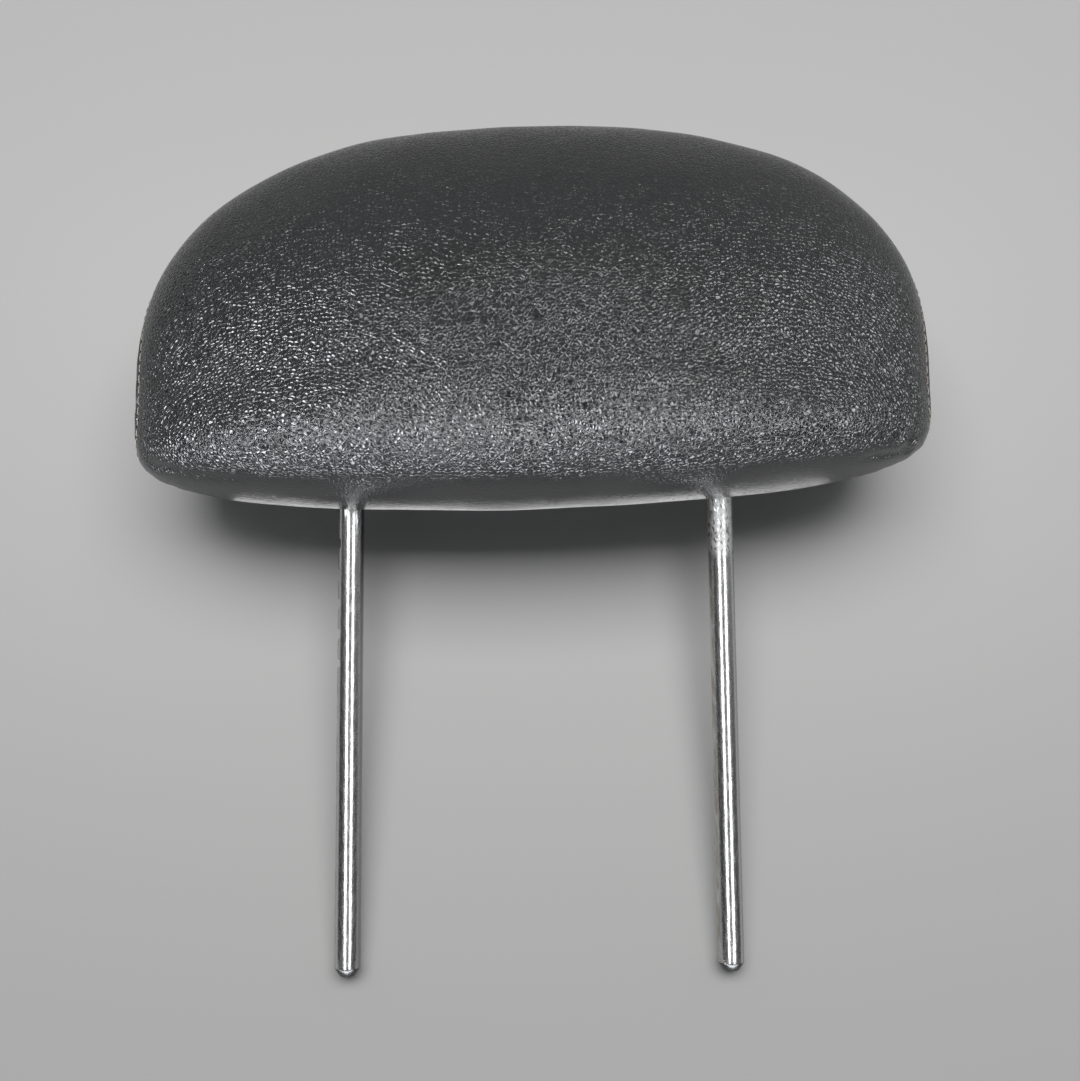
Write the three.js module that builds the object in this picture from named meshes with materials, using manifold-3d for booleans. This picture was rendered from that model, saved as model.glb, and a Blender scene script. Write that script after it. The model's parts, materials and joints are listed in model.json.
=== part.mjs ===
// A car headrest: a leather-covered foam cushion on two steel posts, lying on its back.
// Millimetres. The posts point to -Y, the face looks up along +Z, and the origin is under the middle.
// Everything is built in the posts' own frame first: the posts' axes lie in its plane z = 0, and the
// cushion's lip touches y = 0. The finished assembly is then tipped onto its back and its post tips.

import * as THREE from "three";
import { ParametricGeometry } from "three/addons/geometries/ParametricGeometry.js";
import { mergeVertices } from "three/addons/utils/BufferGeometryUtils.js";
import Module from "manifold-3d";

const wasm = await Module();
wasm.setup();

// Posts, which are the legs of one bent bar
const POST_DIAMETER = 10;
const POST_SPACING = 147;
const POST_REACH = 177;
const HOOP_BEND_RADIUS = 26;
const HOOP_BELOW_TOP = 50;
const TIP_CHAMFER_LENGTH = 3;
const TIP_CHAMFER_DEPTH = 1.8;

// Locking notches on the outer side of the left post
const NOTCH_COUNT = 5;
const NOTCH_PITCH = 11.8;
const NOTCH_DEPTH = 1.5;
const NOTCH_LENGTH = 3;
const NOTCH_RAMP = 2.4;
const FIRST_NOTCH_BELOW_LIP = 10;

// Cushion: half width, rise above and drop below its widest line, and depth before and behind it
const PAD_HALF_WIDTH = 155.5;
const PAD_RISE = 102.5;
const PAD_DROP = 51;
const PAD_FRONT_DEPTH = 52;
const PAD_BACK_DEPTH = 46.5;
const PAD_WIDEST_Z = 8.5;
const PAD_SKEW = 0.025;
const LIP_OVERHANG = 8;
const LIP_Z = 14;
const UNDERSIDE_Z = -16;

// Roundness of the cushion's outline and of its sections: higher is squarer
const TOP_CORNER_POWER = 2.44;
const BOTTOM_CORNER_POWER = 6.3;
const BOTTOM_EDGE_BOW = 0.2;
const FRONT_CROWN_POWER = 2.1;
const BACK_CROWN_POWER = 2.4;
const SIDE_EDGE_POWER = 2.4;
const TOP_EDGE_POWER = 2.1;
const LIP_EDGE_POWER = 3.4;
const BACK_EDGE_POWER = 2.8;

// Seam line between the covers: its height at the sides, behind the top and at the bottom slit
const SEAM_SIDE_Z = 21;
const SEAM_TOP_Z = -22;
const SEAM_BOTTOM_Z = 0;
const SEAM_TURNS_BACK_FROM = 0.1;
const SEAM_TURNS_UNDER_FROM = 0.3;
const SEAM_TURNS_UNDER_TO = 0.8;

// Walls and clearances
const COVER_THICKNESS = 2;
const FIT_GAP = 0.3;
const POST_CLEARANCE = 0.4;
const REST_PRESS = 1;
const REST_TEST_DEGREES = [-90, -80, -70, -60, -50];
const REST_HALVINGS = 40;
const STEEPEST_LIE = Math.PI / 6;
const CUTTER_OVERRUN = 1;

// Plastic half shells that clamp the hoop
const CORE_WALL = 2.5;
const CORE_DEPTH = 13;
const CORE_MARGIN = 5;
const CORE_CORNER_RADIUS = 20;
const CORE_ABOVE_LIP = 25;
const CORE_BOTTOM_FLARE = 8;
const SADDLE_THICKNESS = 3;
const SADDLE_WIDTH = 20;
const SADDLE_ABOVE_CORE_BOTTOM = 8;
const CROSSBAR_SADDLE_X = 25;
const BOSS_RADIUS = 5;

// Screws of the half shells
const SCREW_RADIUS = 1.9;
const SCREW_TIP_COVER = 5.5;
const SCREW_TIP_LENGTH = 3;
const SCREW_HEAD_RADIUS = 3.6;
const SCREW_HEAD_HEIGHT = 2.4;
const SCREW_HEAD_ROUNDING = 0.6;
const SCREW_HEAD_SUNK = 1;
const SCREW_SLOT_WIDTH = 0.9;
const SCREW_SLOT_LENGTH = 4.4;
const SCREW_SLOT_DEPTH = 1.3;
const SCREW_BESIDE_POST = 22;
const SCREW_ABOVE_CORE_BOTTOM = 14;
const SCREW_BELOW_CROSSBAR = 24;

// Hook strips that close the slit at the bottom
const STRIP_WALL = 1.2;
const STRIP_COVER_GAP = 0.7;
const STRIP_WEB = 7.5;
const STRIP_HOOK_REACH = 3.5;
const STRIP_POST_GAP = 2;

// Fineness of the meshes
const OUTLINE_STEPS = 52;
const OUTLINE_SAMPLES = 4800;
const CORNER_CARE = 0.8;
const FRONT_ROWS = 9;
const BACK_ROWS = 8;
const ROUND_STEPS = 24;
const BEND_STEPS = 6;
const STRIP_STEPS = 12;
const CORNER_STEPS = 6;
const MERGE_TOLERANCE = 1e-4;

// Derived places
const POST_RADIUS = POST_DIAMETER / 2;
const POST_X = POST_SPACING / 2;
const PAD_WIDEST_Y = PAD_DROP;
const PAD_TOP_Y = PAD_DROP + PAD_RISE;
const HOOP_TOP_Y = PAD_TOP_Y - HOOP_BELOW_TOP;
const STRIP_SPAN = STRIP_HOOK_REACH + STRIP_WEB;
const RIGHT_ANGLE = Math.PI / 2;

// Materials
const leather = () => new THREE.MeshStandardMaterial({ color: 0x17181b, roughness: 0.42, metalness: 0 });
const foam = () => new THREE.MeshStandardMaterial({ color: 0xd8cfa6, roughness: 0.95, metalness: 0 });
const corePlastic = () => new THREE.MeshStandardMaterial({ color: 0x2b2d30, roughness: 0.6, metalness: 0 });
const stripPlastic = () => new THREE.MeshStandardMaterial({ color: 0x101113, roughness: 0.5, metalness: 0 });
const postSteel = () => new THREE.MeshStandardMaterial({ color: 0xc9ccd0, roughness: 0.18, metalness: 1 });
const screwSteel = () => new THREE.MeshStandardMaterial({ color: 0xa9aaa2, roughness: 0.35, metalness: 1 });

// Closed position-only meshes, and solids to join and cut them

function closedGeometry(geometry) {
  const bare = geometry.clone();
  for (const name of Object.keys(bare.attributes)) {
    if (name !== "position") bare.deleteAttribute(name);
  }
  const merged = mergeVertices(bare, MERGE_TOLERANCE);
  const index = merged.index.array;
  const kept = [];
  for (let i = 0; i < index.length; i += 3) {
    const [a, b, c] = [index[i], index[i + 1], index[i + 2]];
    if (a !== b && b !== c && c !== a) kept.push(a, b, c);
  }
  if (signedVolume(merged.attributes.position, kept) < 0) kept.reverse();
  merged.setIndex(kept);
  return merged;
}

function signedVolume(position, index) {
  const [a, b, c] = [new THREE.Vector3(), new THREE.Vector3(), new THREE.Vector3()];
  let sum = 0;
  for (let i = 0; i < index.length; i += 3) {
    a.fromBufferAttribute(position, index[i]);
    b.fromBufferAttribute(position, index[i + 1]);
    c.fromBufferAttribute(position, index[i + 2]);
    sum += a.dot(b.cross(c));
  }
  return sum;
}

function solid(geometry) {
  const closed = closedGeometry(geometry);
  const mesh = new wasm.Mesh({
    numProp: 3,
    vertProperties: new Float32Array(closed.attributes.position.array),
    triVerts: new Uint32Array(closed.index.array),
  });
  return new wasm.Manifold(mesh);
}

function geometryOf(body) {
  const mesh = body.getMesh();
  const geometry = new THREE.BufferGeometry();
  geometry.setAttribute("position", new THREE.BufferAttribute(new Float32Array(mesh.vertProperties), 3));
  geometry.setIndex(new THREE.BufferAttribute(new Uint32Array(mesh.triVerts), 1));
  return geometry;
}

function named(name, geometry, material) {
  geometry.computeVertexNormals();
  const mesh = new THREE.Mesh(geometry, material);
  mesh.name = name;
  return mesh;
}

function rod(radius, from, to) {
  const length = from.distanceTo(to);
  const geometry = new THREE.CylinderGeometry(radius, radius, length, ROUND_STEPS);
  const turn = new THREE.Quaternion().setFromUnitVectors(
    new THREE.Vector3(0, 1, 0),
    to.clone().sub(from).normalize(),
  );
  geometry.applyQuaternion(turn);
  geometry.translate(...from.clone().add(to).multiplyScalar(0.5).toArray());
  return geometry;
}

function block(low, high) {
  const size = high.clone().sub(low);
  const geometry = new THREE.BoxGeometry(size.x, size.y, size.z);
  geometry.translate(...low.clone().add(high).multiplyScalar(0.5).toArray());
  return geometry;
}

const at = (x, y, z) => new THREE.Vector3(x, y, z);
const smooth = (from, to, value) => THREE.MathUtils.smoothstep(value, from, to);
const signedPower = (value, power) => Math.sign(value) * Math.abs(value) ** power;

// Cushion surface

function bottomDrop(x) {
  const square = Math.max(0, 1 - Math.abs(x) ** BOTTOM_CORNER_POWER) ** (1 / BOTTOM_CORNER_POWER);
  return square * (1 - BOTTOM_EDGE_BOW * x * x);
}

// The cushion seen from the front, as a D of half width 1, rise 1 and drop 1.
function unitOutlinePoint(t) {
  const angle = 2 * Math.PI * t - RIGHT_ANGLE;
  const above = Math.sin(angle) >= 0;
  const power = 2 / (above ? TOP_CORNER_POWER : BOTTOM_CORNER_POWER);
  const x = signedPower(Math.cos(angle), power);
  return { x, y: above ? Math.sin(angle) ** power : -bottomDrop(x) };
}

// Steps around the outline: equal shares of its length and of its turning, so corners get more of them.
function outlineSteps(count) {
  const fine = Array.from({ length: OUTLINE_SAMPLES + 1 }, (_, i) => unitOutlinePoint(i / OUTLINE_SAMPLES));
  const reach = (p) => (p.y >= 0 ? PAD_RISE : PAD_DROP);
  const real = fine.map((p) => new THREE.Vector2(p.x * PAD_HALF_WIDTH, p.y * reach(p)));
  const runs = real.slice(1).map((p, i) => p.clone().sub(real[i]));
  const length = runs.reduce((sum, run) => sum + run.length(), 0);
  const measure = [0];
  runs.forEach((run, i) => {
    const next = runs[(i + 1) % runs.length];
    const turn = Math.abs(Math.atan2(run.cross(next), run.dot(next))) / (2 * Math.PI);
    measure.push(measure[i] + run.length() / length + CORNER_CARE * turn);
  });
  const total = measure[measure.length - 1];
  return Array.from({ length: count }, (_, i) => fine[measure.findIndex((m) => m >= (total * i) / count)]);
}

const OUTLINE = outlineSteps(OUTLINE_STEPS);

function bottomEdge(x) {
  const side = x / PAD_HALF_WIDTH;
  return { x: side, y: -bottomDrop(side) };
}

function edgePower(edge, front) {
  if (!front) return BACK_EDGE_POWER;
  const towards = edge.y >= 0 ? TOP_EDGE_POWER : LIP_EDGE_POWER;
  return THREE.MathUtils.lerp(SIDE_EDGE_POWER, towards, edge.y * edge.y);
}

function sectionAngle(z) {
  const front = z > PAD_WIDEST_Z;
  const share = (z - PAD_WIDEST_Z) / (front ? PAD_FRONT_DEPTH : -PAD_BACK_DEPTH);
  const angle = Math.asin(share ** ((front ? FRONT_CROWN_POWER : BACK_CROWN_POWER) / 2));
  return front ? angle : -angle;
}

// A point of the cushion: edge is a place on the unit outline, and angle runs from the middle of
// the back (-90 degrees) over the widest line (0) to the middle of the face (90 degrees).
function roundPoint(edge, angle, inset) {
  const front = angle > 0;
  const shrink = Math.cos(angle) ** (2 / edgePower(edge, front));
  const crown = Math.abs(Math.sin(angle)) ** (2 / (front ? FRONT_CROWN_POWER : BACK_CROWN_POWER));
  const z = PAD_WIDEST_Z + crown * (front ? PAD_FRONT_DEPTH - inset : inset - PAD_BACK_DEPTH);
  const undercut = LIP_OVERHANG * (1 - smooth(UNDERSIDE_Z, LIP_Z, z));
  const reach = edge.y >= 0 ? PAD_RISE : PAD_DROP - undercut;
  const x = edge.x * (PAD_HALF_WIDTH - inset) * shrink;
  const y = edge.y * (reach - inset) * shrink;
  return at(x, y + PAD_WIDEST_Y + x * PAD_SKEW, z);
}

// How far the assembly is tipped so that the back is pressed in a little and the post tips touch down.
function restOf(lie) {
  const tipY = -POST_REACH + TIP_CHAMFER_LENGTH;
  const lift = POST_RADIUS * Math.cos(lie) - tipY * Math.sin(lie);
  const heights = OUTLINE.flatMap((edge) => REST_TEST_DEGREES.map((degrees) => {
    const point = roundPoint(edge, THREE.MathUtils.degToRad(degrees), 0);
    return point.y * Math.sin(lie) + point.z * Math.cos(lie) + lift;
  }));
  return { lie, lift, lowest: Math.min(...heights) };
}

function findRest() {
  let [low, high] = [0, STEEPEST_LIE];
  for (let i = 0; i < REST_HALVINGS; i += 1) {
    const middle = (low + high) / 2;
    if (restOf(middle).lowest < -REST_PRESS) low = middle;
    else high = middle;
  }
  return restOf(high);
}

const REST = findRest();
const DOWN = at(0, -Math.sin(REST.lie), -Math.cos(REST.lie));

// The same point with the back pressed flat where the cushion lies on it.
function cushionPoint(edge, angle, inset) {
  const point = roundPoint(edge, angle, inset);
  const height = REST.lift - point.dot(DOWN);
  if (height < inset) point.addScaledVector(DOWN, height - inset);
  return point;
}

function seamHeight(edge) {
  if (edge.y >= 0) {
    const back = smooth(SEAM_TURNS_BACK_FROM, 1, edge.y);
    return THREE.MathUtils.lerp(SEAM_SIDE_Z, SEAM_TOP_Z, back);
  }
  const under = smooth(SEAM_TURNS_UNDER_FROM, SEAM_TURNS_UNDER_TO, -edge.y);
  return THREE.MathUtils.lerp(SEAM_SIDE_Z, SEAM_BOTTOM_Z, under);
}

// Rows run from a pole (share 1) to the seam (share 0). A skin goes out along its outer rows and back
// along its inner ones, so it closes on itself.
function skin(rows) {
  const surface = (u, v, target) => {
    const edge = OUTLINE[Math.round(u * OUTLINE_STEPS) % OUTLINE_STEPS];
    const row = rows[Math.round(v * (rows.length - 1))];
    const seam = sectionAngle(seamHeight(edge) + row.seamOffset);
    const angle = THREE.MathUtils.lerp(seam, row.pole, row.share);
    target.copy(cushionPoint(edge, angle, row.inset));
  };
  return closedGeometry(new ParametricGeometry(surface, OUTLINE_STEPS, rows.length - 1));
}

function rowsTo(pole, count, inset, seamOffset) {
  return Array.from({ length: count + 1 }, (_, i) => ({ pole, share: i / count, inset, seamOffset }));
}

// The foam's rows run from the back to the front, and each cover's inner rows run with them, so that
// the facets on the two sides of the gap match.
function coverSkin(side) {
  const [pole, count] = side > 0 ? [RIGHT_ANGLE, FRONT_ROWS] : [-RIGHT_ANGLE, BACK_ROWS];
  const [first, last] = side > 0 ? [0, COVER_THICKNESS] : [COVER_THICKNESS, 0];
  const seamOffset = side * FIT_GAP / 2;
  const towards = rowsTo(pole, count, first, seamOffset).reverse();
  return skin([...towards, ...rowsTo(pole, count, last, seamOffset)]);
}

// Hoop: one bar bent into a U

class HoopPath extends THREE.Curve {
  constructor() {
    super();
    const bend = (centreX, from, to) => Array.from({ length: BEND_STEPS + 1 }, (_, i) => {
      const angle = THREE.MathUtils.lerp(from, to, i / BEND_STEPS);
      const centre = at(centreX, HOOP_TOP_Y - HOOP_BEND_RADIUS, 0);
      return at(Math.cos(angle), Math.sin(angle), 0).multiplyScalar(HOOP_BEND_RADIUS).add(centre);
    });
    const bendX = POST_X - HOOP_BEND_RADIUS;
    this.stations = [
      at(-POST_X, -POST_REACH, 0),
      ...bend(-bendX, Math.PI, RIGHT_ANGLE),
      ...bend(bendX, RIGHT_ANGLE, 0),
      at(POST_X, -POST_REACH, 0),
    ];
  }

  getPoint(t, target = new THREE.Vector3()) {
    const place = t * (this.stations.length - 1);
    const i = Math.min(Math.floor(place), this.stations.length - 2);
    return target.lerpVectors(this.stations[i], this.stations[i + 1], place - i);
  }

  getPointAt(u, target) {
    return this.getPoint(u, target);
  }

  getTangentAt(u, target) {
    return this.getTangent(u, target);
  }
}

function hoopTube(radius) {
  const path = new HoopPath();
  const circle = new THREE.Shape().absarc(0, 0, radius, 0, 2 * Math.PI);
  return new THREE.ExtrudeGeometry(circle, {
    steps: path.stations.length - 1,
    curveSegments: ROUND_STEPS / 2,
    extrudePath: path,
    bevelEnabled: false,
  });
}

// The ring that is turned off a post's end.
function tipCutter(x) {
  const wide = POST_RADIUS + CUTTER_OVERRUN;
  const slope = TIP_CHAMFER_DEPTH / TIP_CHAMFER_LENGTH;
  const narrow = POST_RADIUS - TIP_CHAMFER_DEPTH - slope * CUTTER_OVERRUN;
  const profile = [
    [narrow, -CUTTER_OVERRUN],
    [wide, -CUTTER_OVERRUN],
    [wide, TIP_CHAMFER_LENGTH + CUTTER_OVERRUN / slope],
    [narrow, -CUTTER_OVERRUN],
  ].map(([r, y]) => new THREE.Vector2(r, y));
  return new THREE.LatheGeometry(profile, ROUND_STEPS).translate(x, -POST_REACH, 0);
}

// A notch seen from the front, on the outer side of the left post. Its shoulder is steep towards the
// cushion, and all but the last one ramp out towards the tip.
function notchCutter(i) {
  const ramp = i === NOTCH_COUNT - 1 ? 0 : NOTCH_RAMP;
  const top = -FIRST_NOTCH_BELOW_LIP - i * NOTCH_PITCH;
  const floor = -POST_X - POST_RADIUS + NOTCH_DEPTH;
  const outside = -POST_X - POST_RADIUS - CUTTER_OVERRUN;
  const rampRun = ramp * (1 + CUTTER_OVERRUN / NOTCH_DEPTH);
  const outline = new THREE.Shape([
    new THREE.Vector2(outside, top),
    new THREE.Vector2(floor, top),
    new THREE.Vector2(floor, top - NOTCH_LENGTH),
    new THREE.Vector2(outside, top - NOTCH_LENGTH - rampRun),
  ]);
  const depth = POST_DIAMETER + 2 * CUTTER_OVERRUN;
  return new THREE.ExtrudeGeometry(outline, { depth, bevelEnabled: false }).translate(0, 0, -depth / 2);
}

function buildHoop() {
  let body = solid(hoopTube(POST_RADIUS));
  for (const x of [-POST_X, POST_X]) body = body.subtract(solid(tipCutter(x)));
  for (let i = 0; i < NOTCH_COUNT; i += 1) body = body.subtract(solid(notchCutter(i)));
  return named("post_hoop", geometryOf(body), postSteel());
}

// Core: two half shells that meet in the posts' plane

const CORE_TOP_Y = HOOP_TOP_Y + POST_RADIUS + CORE_MARGIN + CORE_WALL;
const CORE_TOP_HALF = POST_X + POST_RADIUS + CORE_MARGIN;
const CORE_BOTTOM_HALF = CORE_TOP_HALF + CORE_BOTTOM_FLARE;
const SCREW_SEAT_Z = -CORE_DEPTH + SCREW_HEAD_HEIGHT + SCREW_HEAD_SUNK;
const SCREW_PLACES = [-1, 1].flatMap((side) => [
  at(side * (POST_X - SCREW_BESIDE_POST), CORE_ABOVE_LIP + SCREW_ABOVE_CORE_BOTTOM, 0),
  at(side * (POST_X - SCREW_BESIDE_POST), HOOP_TOP_Y - SCREW_BELOW_CROSSBAR, 0),
]);

function coreOutline(grow) {
  const bottom = CORE_ABOVE_LIP - grow;
  const top = CORE_TOP_Y + grow;
  const corner = CORE_CORNER_RADIUS + grow;
  const low = CORE_BOTTOM_HALF + grow;
  const high = CORE_TOP_HALF + grow;
  const shape = new THREE.Shape();
  shape.moveTo(-low, bottom);
  shape.lineTo(low, bottom);
  shape.lineTo(high, top - corner);
  shape.quadraticCurveTo(high, top, high - corner, top);
  shape.lineTo(corner - high, top);
  shape.quadraticCurveTo(-high, top, -high, top - corner);
  return shape;
}

function coreSlab(grow, from, to) {
  const options = { depth: to - from, curveSegments: CORNER_STEPS, bevelEnabled: false };
  return new THREE.ExtrudeGeometry(coreOutline(grow), options).translate(0, 0, from);
}

// The span from near to far on one side of the posts' plane.
function span(side, near, far) {
  return side > 0 ? [near, far] : [-far, -near];
}

function saddles(from, to) {
  const half = SADDLE_WIDTH / 2;
  const thick = SADDLE_THICKNESS / 2;
  const legRows = [CORE_ABOVE_LIP + SADDLE_ABOVE_CORE_BOTTOM, (CORE_ABOVE_LIP + HOOP_TOP_Y) / 2];
  const onLegs = [-POST_X, POST_X].flatMap((x) => legRows.map((y) => (
    block(at(x - half, y - thick, from), at(x + half, y + thick, to)))));
  const onCrossbar = [-CROSSBAR_SADDLE_X, CROSSBAR_SADDLE_X].map((x) => (
    block(at(x - thick, HOOP_TOP_Y - half, from), at(x + thick, CORE_TOP_Y - CORE_WALL / 2, to))));
  return [...onLegs, ...onCrossbar];
}

function upright(radius, place, from, to) {
  return rod(radius, at(place.x, place.y, from), at(place.x, place.y, to));
}

function buildCoreHalf(name, side) {
  const outside = coreSlab(0, ...span(side, FIT_GAP / 2, CORE_DEPTH));
  const inside = coreSlab(-CORE_WALL, ...span(side, -CUTTER_OVERRUN, CORE_DEPTH - CORE_WALL));
  const ribs = span(side, FIT_GAP / 2, CORE_DEPTH - CORE_WALL / 2);
  let body = solid(outside).subtract(solid(inside));
  for (const saddle of saddles(...ribs)) body = body.add(solid(saddle));
  for (const place of SCREW_PLACES) body = body.add(solid(upright(BOSS_RADIUS, place, ...ribs)));
  body = body.subtract(solid(hoopTube(POST_RADIUS + FIT_GAP)));
  for (const place of SCREW_PLACES) {
    body = body.subtract(solid(screwGeometry(place, FIT_GAP)));
    const well = upright(SCREW_HEAD_RADIUS + FIT_GAP, place, -CORE_DEPTH - CUTTER_OVERRUN, SCREW_SEAT_Z);
    body = body.subtract(solid(well));
  }
  return named(name, geometryOf(body), corePlastic());
}

// Screws go in from the back, and their heads sit in wells. Grown by a gap, a screw is its own hole.
function screwGeometry(place, grow) {
  const shank = SCREW_RADIUS + grow;
  const head = SCREW_HEAD_RADIUS + grow;
  const seat = grow - FIT_GAP;
  const length = CORE_DEPTH - SCREW_TIP_COVER - SCREW_SEAT_Z;
  const profile = [
    [0, -SCREW_HEAD_HEIGHT - FIT_GAP],
    [head - SCREW_HEAD_ROUNDING, -SCREW_HEAD_HEIGHT - FIT_GAP],
    [head, SCREW_HEAD_ROUNDING - SCREW_HEAD_HEIGHT - FIT_GAP],
    [head, seat],
    [shank, seat],
    [shank, length - SCREW_TIP_LENGTH],
    [0, length + seat],
  ].map(([r, z]) => new THREE.Vector2(r, z));
  return new THREE.LatheGeometry(profile, ROUND_STEPS / 2)
    .rotateX(RIGHT_ANGLE)
    .translate(place.x, place.y, SCREW_SEAT_Z);
}

function buildScrew(name, place) {
  const bottom = SCREW_SEAT_Z - FIT_GAP - SCREW_HEAD_HEIGHT;
  let body = solid(screwGeometry(place, 0));
  const [half, thick] = [SCREW_SLOT_LENGTH / 2, SCREW_SLOT_WIDTH / 2];
  for (const [dx, dy] of [[half, thick], [thick, half]]) {
    const low = at(place.x - dx, place.y - dy, bottom - CUTTER_OVERRUN);
    const high = at(place.x + dx, place.y + dy, bottom + SCREW_SLOT_DEPTH);
    body = body.subtract(solid(block(low, high)));
  }
  return named(name, geometryOf(body), screwSteel());
}

// Foam: the cushion inside the covers, with a slot for the core that opens at the bottom

function buildFoam() {
  const inset = COVER_THICKNESS + FIT_GAP;
  const back = rowsTo(-RIGHT_ANGLE, BACK_ROWS, inset, 0).reverse();
  const front = rowsTo(RIGHT_ANGLE, FRONT_ROWS, inset, 0).slice(1);
  const slot = coreSlab(FIT_GAP, -CORE_DEPTH - FIT_GAP, CORE_DEPTH + FIT_GAP);
  const mouth = block(
    at(-CORE_BOTTOM_HALF - FIT_GAP, -PAD_DROP, -CORE_DEPTH - FIT_GAP),
    at(CORE_BOTTOM_HALF + FIT_GAP, CORE_ABOVE_LIP + CUTTER_OVERRUN, CORE_DEPTH + FIT_GAP),
  );
  const body = solid(skin([...back, ...front])).subtract(solid(slot).add(solid(mouth)));
  return named("foam_pad", geometryOf(body), foam());
}

// Covers: the posts pass through the slit where the two meet at the bottom

function buildCover(name, side) {
  let body = solid(coverSkin(side));
  for (const x of [-POST_X, POST_X]) {
    const hole = rod(POST_RADIUS + POST_CLEARANCE, at(x, -PAD_DROP, 0), at(x, PAD_WIDEST_Y, 0));
    body = body.subtract(solid(hole));
  }
  return named(name, geometryOf(body), leather());
}

// Hook strips: each is sewn inside a cover's edge, and the two hook into each other. In their
// profiles x is the distance in front of the slit, and y is the depth below the cover's inside.

function frontStripProfile() {
  const [floor, wall, reach] = [STRIP_COVER_GAP, STRIP_WALL, STRIP_HOOK_REACH];
  const slot = wall + 2 * FIT_GAP;
  const lip = floor + wall + slot;
  return [
    [reach + STRIP_WEB, floor], [reach + STRIP_WEB, floor + wall], [wall - reach, floor + wall],
    [wall - reach, lip], [wall / 2, lip], [wall / 2, lip + wall], [-reach, lip + wall], [-reach, floor],
  ];
}

function rearStripProfile() {
  const [floor, wall, reach] = [STRIP_COVER_GAP, STRIP_WALL, STRIP_HOOK_REACH];
  const slot = wall + 2 * FIT_GAP;
  const roof = floor + wall + slot + wall + FIT_GAP;
  const tongue = floor + wall + FIT_GAP;
  const nose = wall / 2 + FIT_GAP;
  const heel = -reach - FIT_GAP;
  return [
    [heel - STRIP_WEB, floor], [heel, floor], [heel, roof], [nose, roof], [nose, tongue + wall],
    [wall - reach + FIT_GAP, tongue + wall], [wall - reach + FIT_GAP, tongue], [nose + wall, tongue],
    [nose + wall, roof + wall], [heel - wall, roof + wall], [heel - wall, floor + wall],
    [heel - STRIP_WEB, floor + wall],
  ];
}

function insideCover(x, aboveSlit) {
  return cushionPoint(bottomEdge(x), sectionAngle(SEAM_BOTTOM_Z + aboveSlit), COVER_THICKNESS);
}

// The strips' section is rigid: it lies along the line between the covers' insides at its two ends.
function stripPoint(x, across, depth) {
  const rear = insideCover(x, -STRIP_SPAN);
  const front = insideCover(x, STRIP_SPAN);
  const along = front.clone().sub(rear).setX(0).normalize();
  const inwards = at(0, along.z, -along.y);
  return rear.lerp(front, 0.5).addScaledVector(along, across).addScaledVector(inwards, depth);
}

function buildStrip(name, profile) {
  const half = POST_X - POST_RADIUS - STRIP_POST_GAP;
  const outline = new THREE.Shape(profile.map(([x, y]) => new THREE.Vector2(x, y)));
  const options = { depth: 2 * half, steps: STRIP_STEPS, bevelEnabled: false };
  const straight = new THREE.ExtrudeGeometry(outline, options);
  const position = straight.attributes.position;
  for (let i = 0; i < position.count; i += 1) {
    const point = stripPoint(position.getZ(i) - half, position.getX(i), position.getY(i));
    position.setXYZ(i, point.x, point.y, point.z);
  }
  return named(name, geometryOf(solid(straight)), stripPlastic());
}

// Assembly

const headrest = new THREE.Group();
headrest.add(
  buildHoop(),
  buildCoreHalf("core_front", 1),
  buildCoreHalf("core_rear", -1),
  ...SCREW_PLACES.map((place, i) => buildScrew(`core_screw_${i + 1}`, place)),
  buildFoam(),
  buildCover("front_cover", 1),
  buildCover("rear_cover", -1),
  buildStrip("closure_hook_front", frontStripProfile()),
  buildStrip("closure_hook_rear", rearStripProfile()),
);

// Tip it onto its back, and put the origin under the middle of the whole
headrest.rotation.x = REST.lie;
const group = new THREE.Group();
group.add(headrest);
group.updateMatrixWorld(true);
const box = new THREE.Box3().setFromObject(group, true);
const middle = box.getCenter(new THREE.Vector3());
headrest.position.set(-middle.x, -middle.y, -box.min.z);
group.updateMatrixWorld(true);

export default group;
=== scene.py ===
import json
import math

import bmesh
import bpy
import numpy as np
from mathutils import Matrix, Vector, noise


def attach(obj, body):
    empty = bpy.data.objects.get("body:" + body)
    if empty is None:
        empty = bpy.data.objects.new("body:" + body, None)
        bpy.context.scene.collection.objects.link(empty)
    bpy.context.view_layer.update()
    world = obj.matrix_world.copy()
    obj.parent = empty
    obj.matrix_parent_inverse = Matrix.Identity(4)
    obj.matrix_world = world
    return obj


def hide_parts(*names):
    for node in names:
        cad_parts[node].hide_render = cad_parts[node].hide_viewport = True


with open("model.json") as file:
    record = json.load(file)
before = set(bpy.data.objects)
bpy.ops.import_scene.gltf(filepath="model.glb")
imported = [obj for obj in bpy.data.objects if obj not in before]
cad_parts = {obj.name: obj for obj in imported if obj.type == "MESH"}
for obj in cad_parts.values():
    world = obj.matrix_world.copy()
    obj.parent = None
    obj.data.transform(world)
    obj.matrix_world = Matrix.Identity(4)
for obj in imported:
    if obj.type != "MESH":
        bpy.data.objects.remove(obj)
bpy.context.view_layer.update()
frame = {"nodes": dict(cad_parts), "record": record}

# A leather car headrest on two steel posts, lying on its back. Metres. The cushion is worked out in
# the posts' own frame, where the posts' axes lie in the plane z = 0, the posts point to -Y and the
# cushion's lip touches y = 0, and is then laid down as the posts' ends say.

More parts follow.
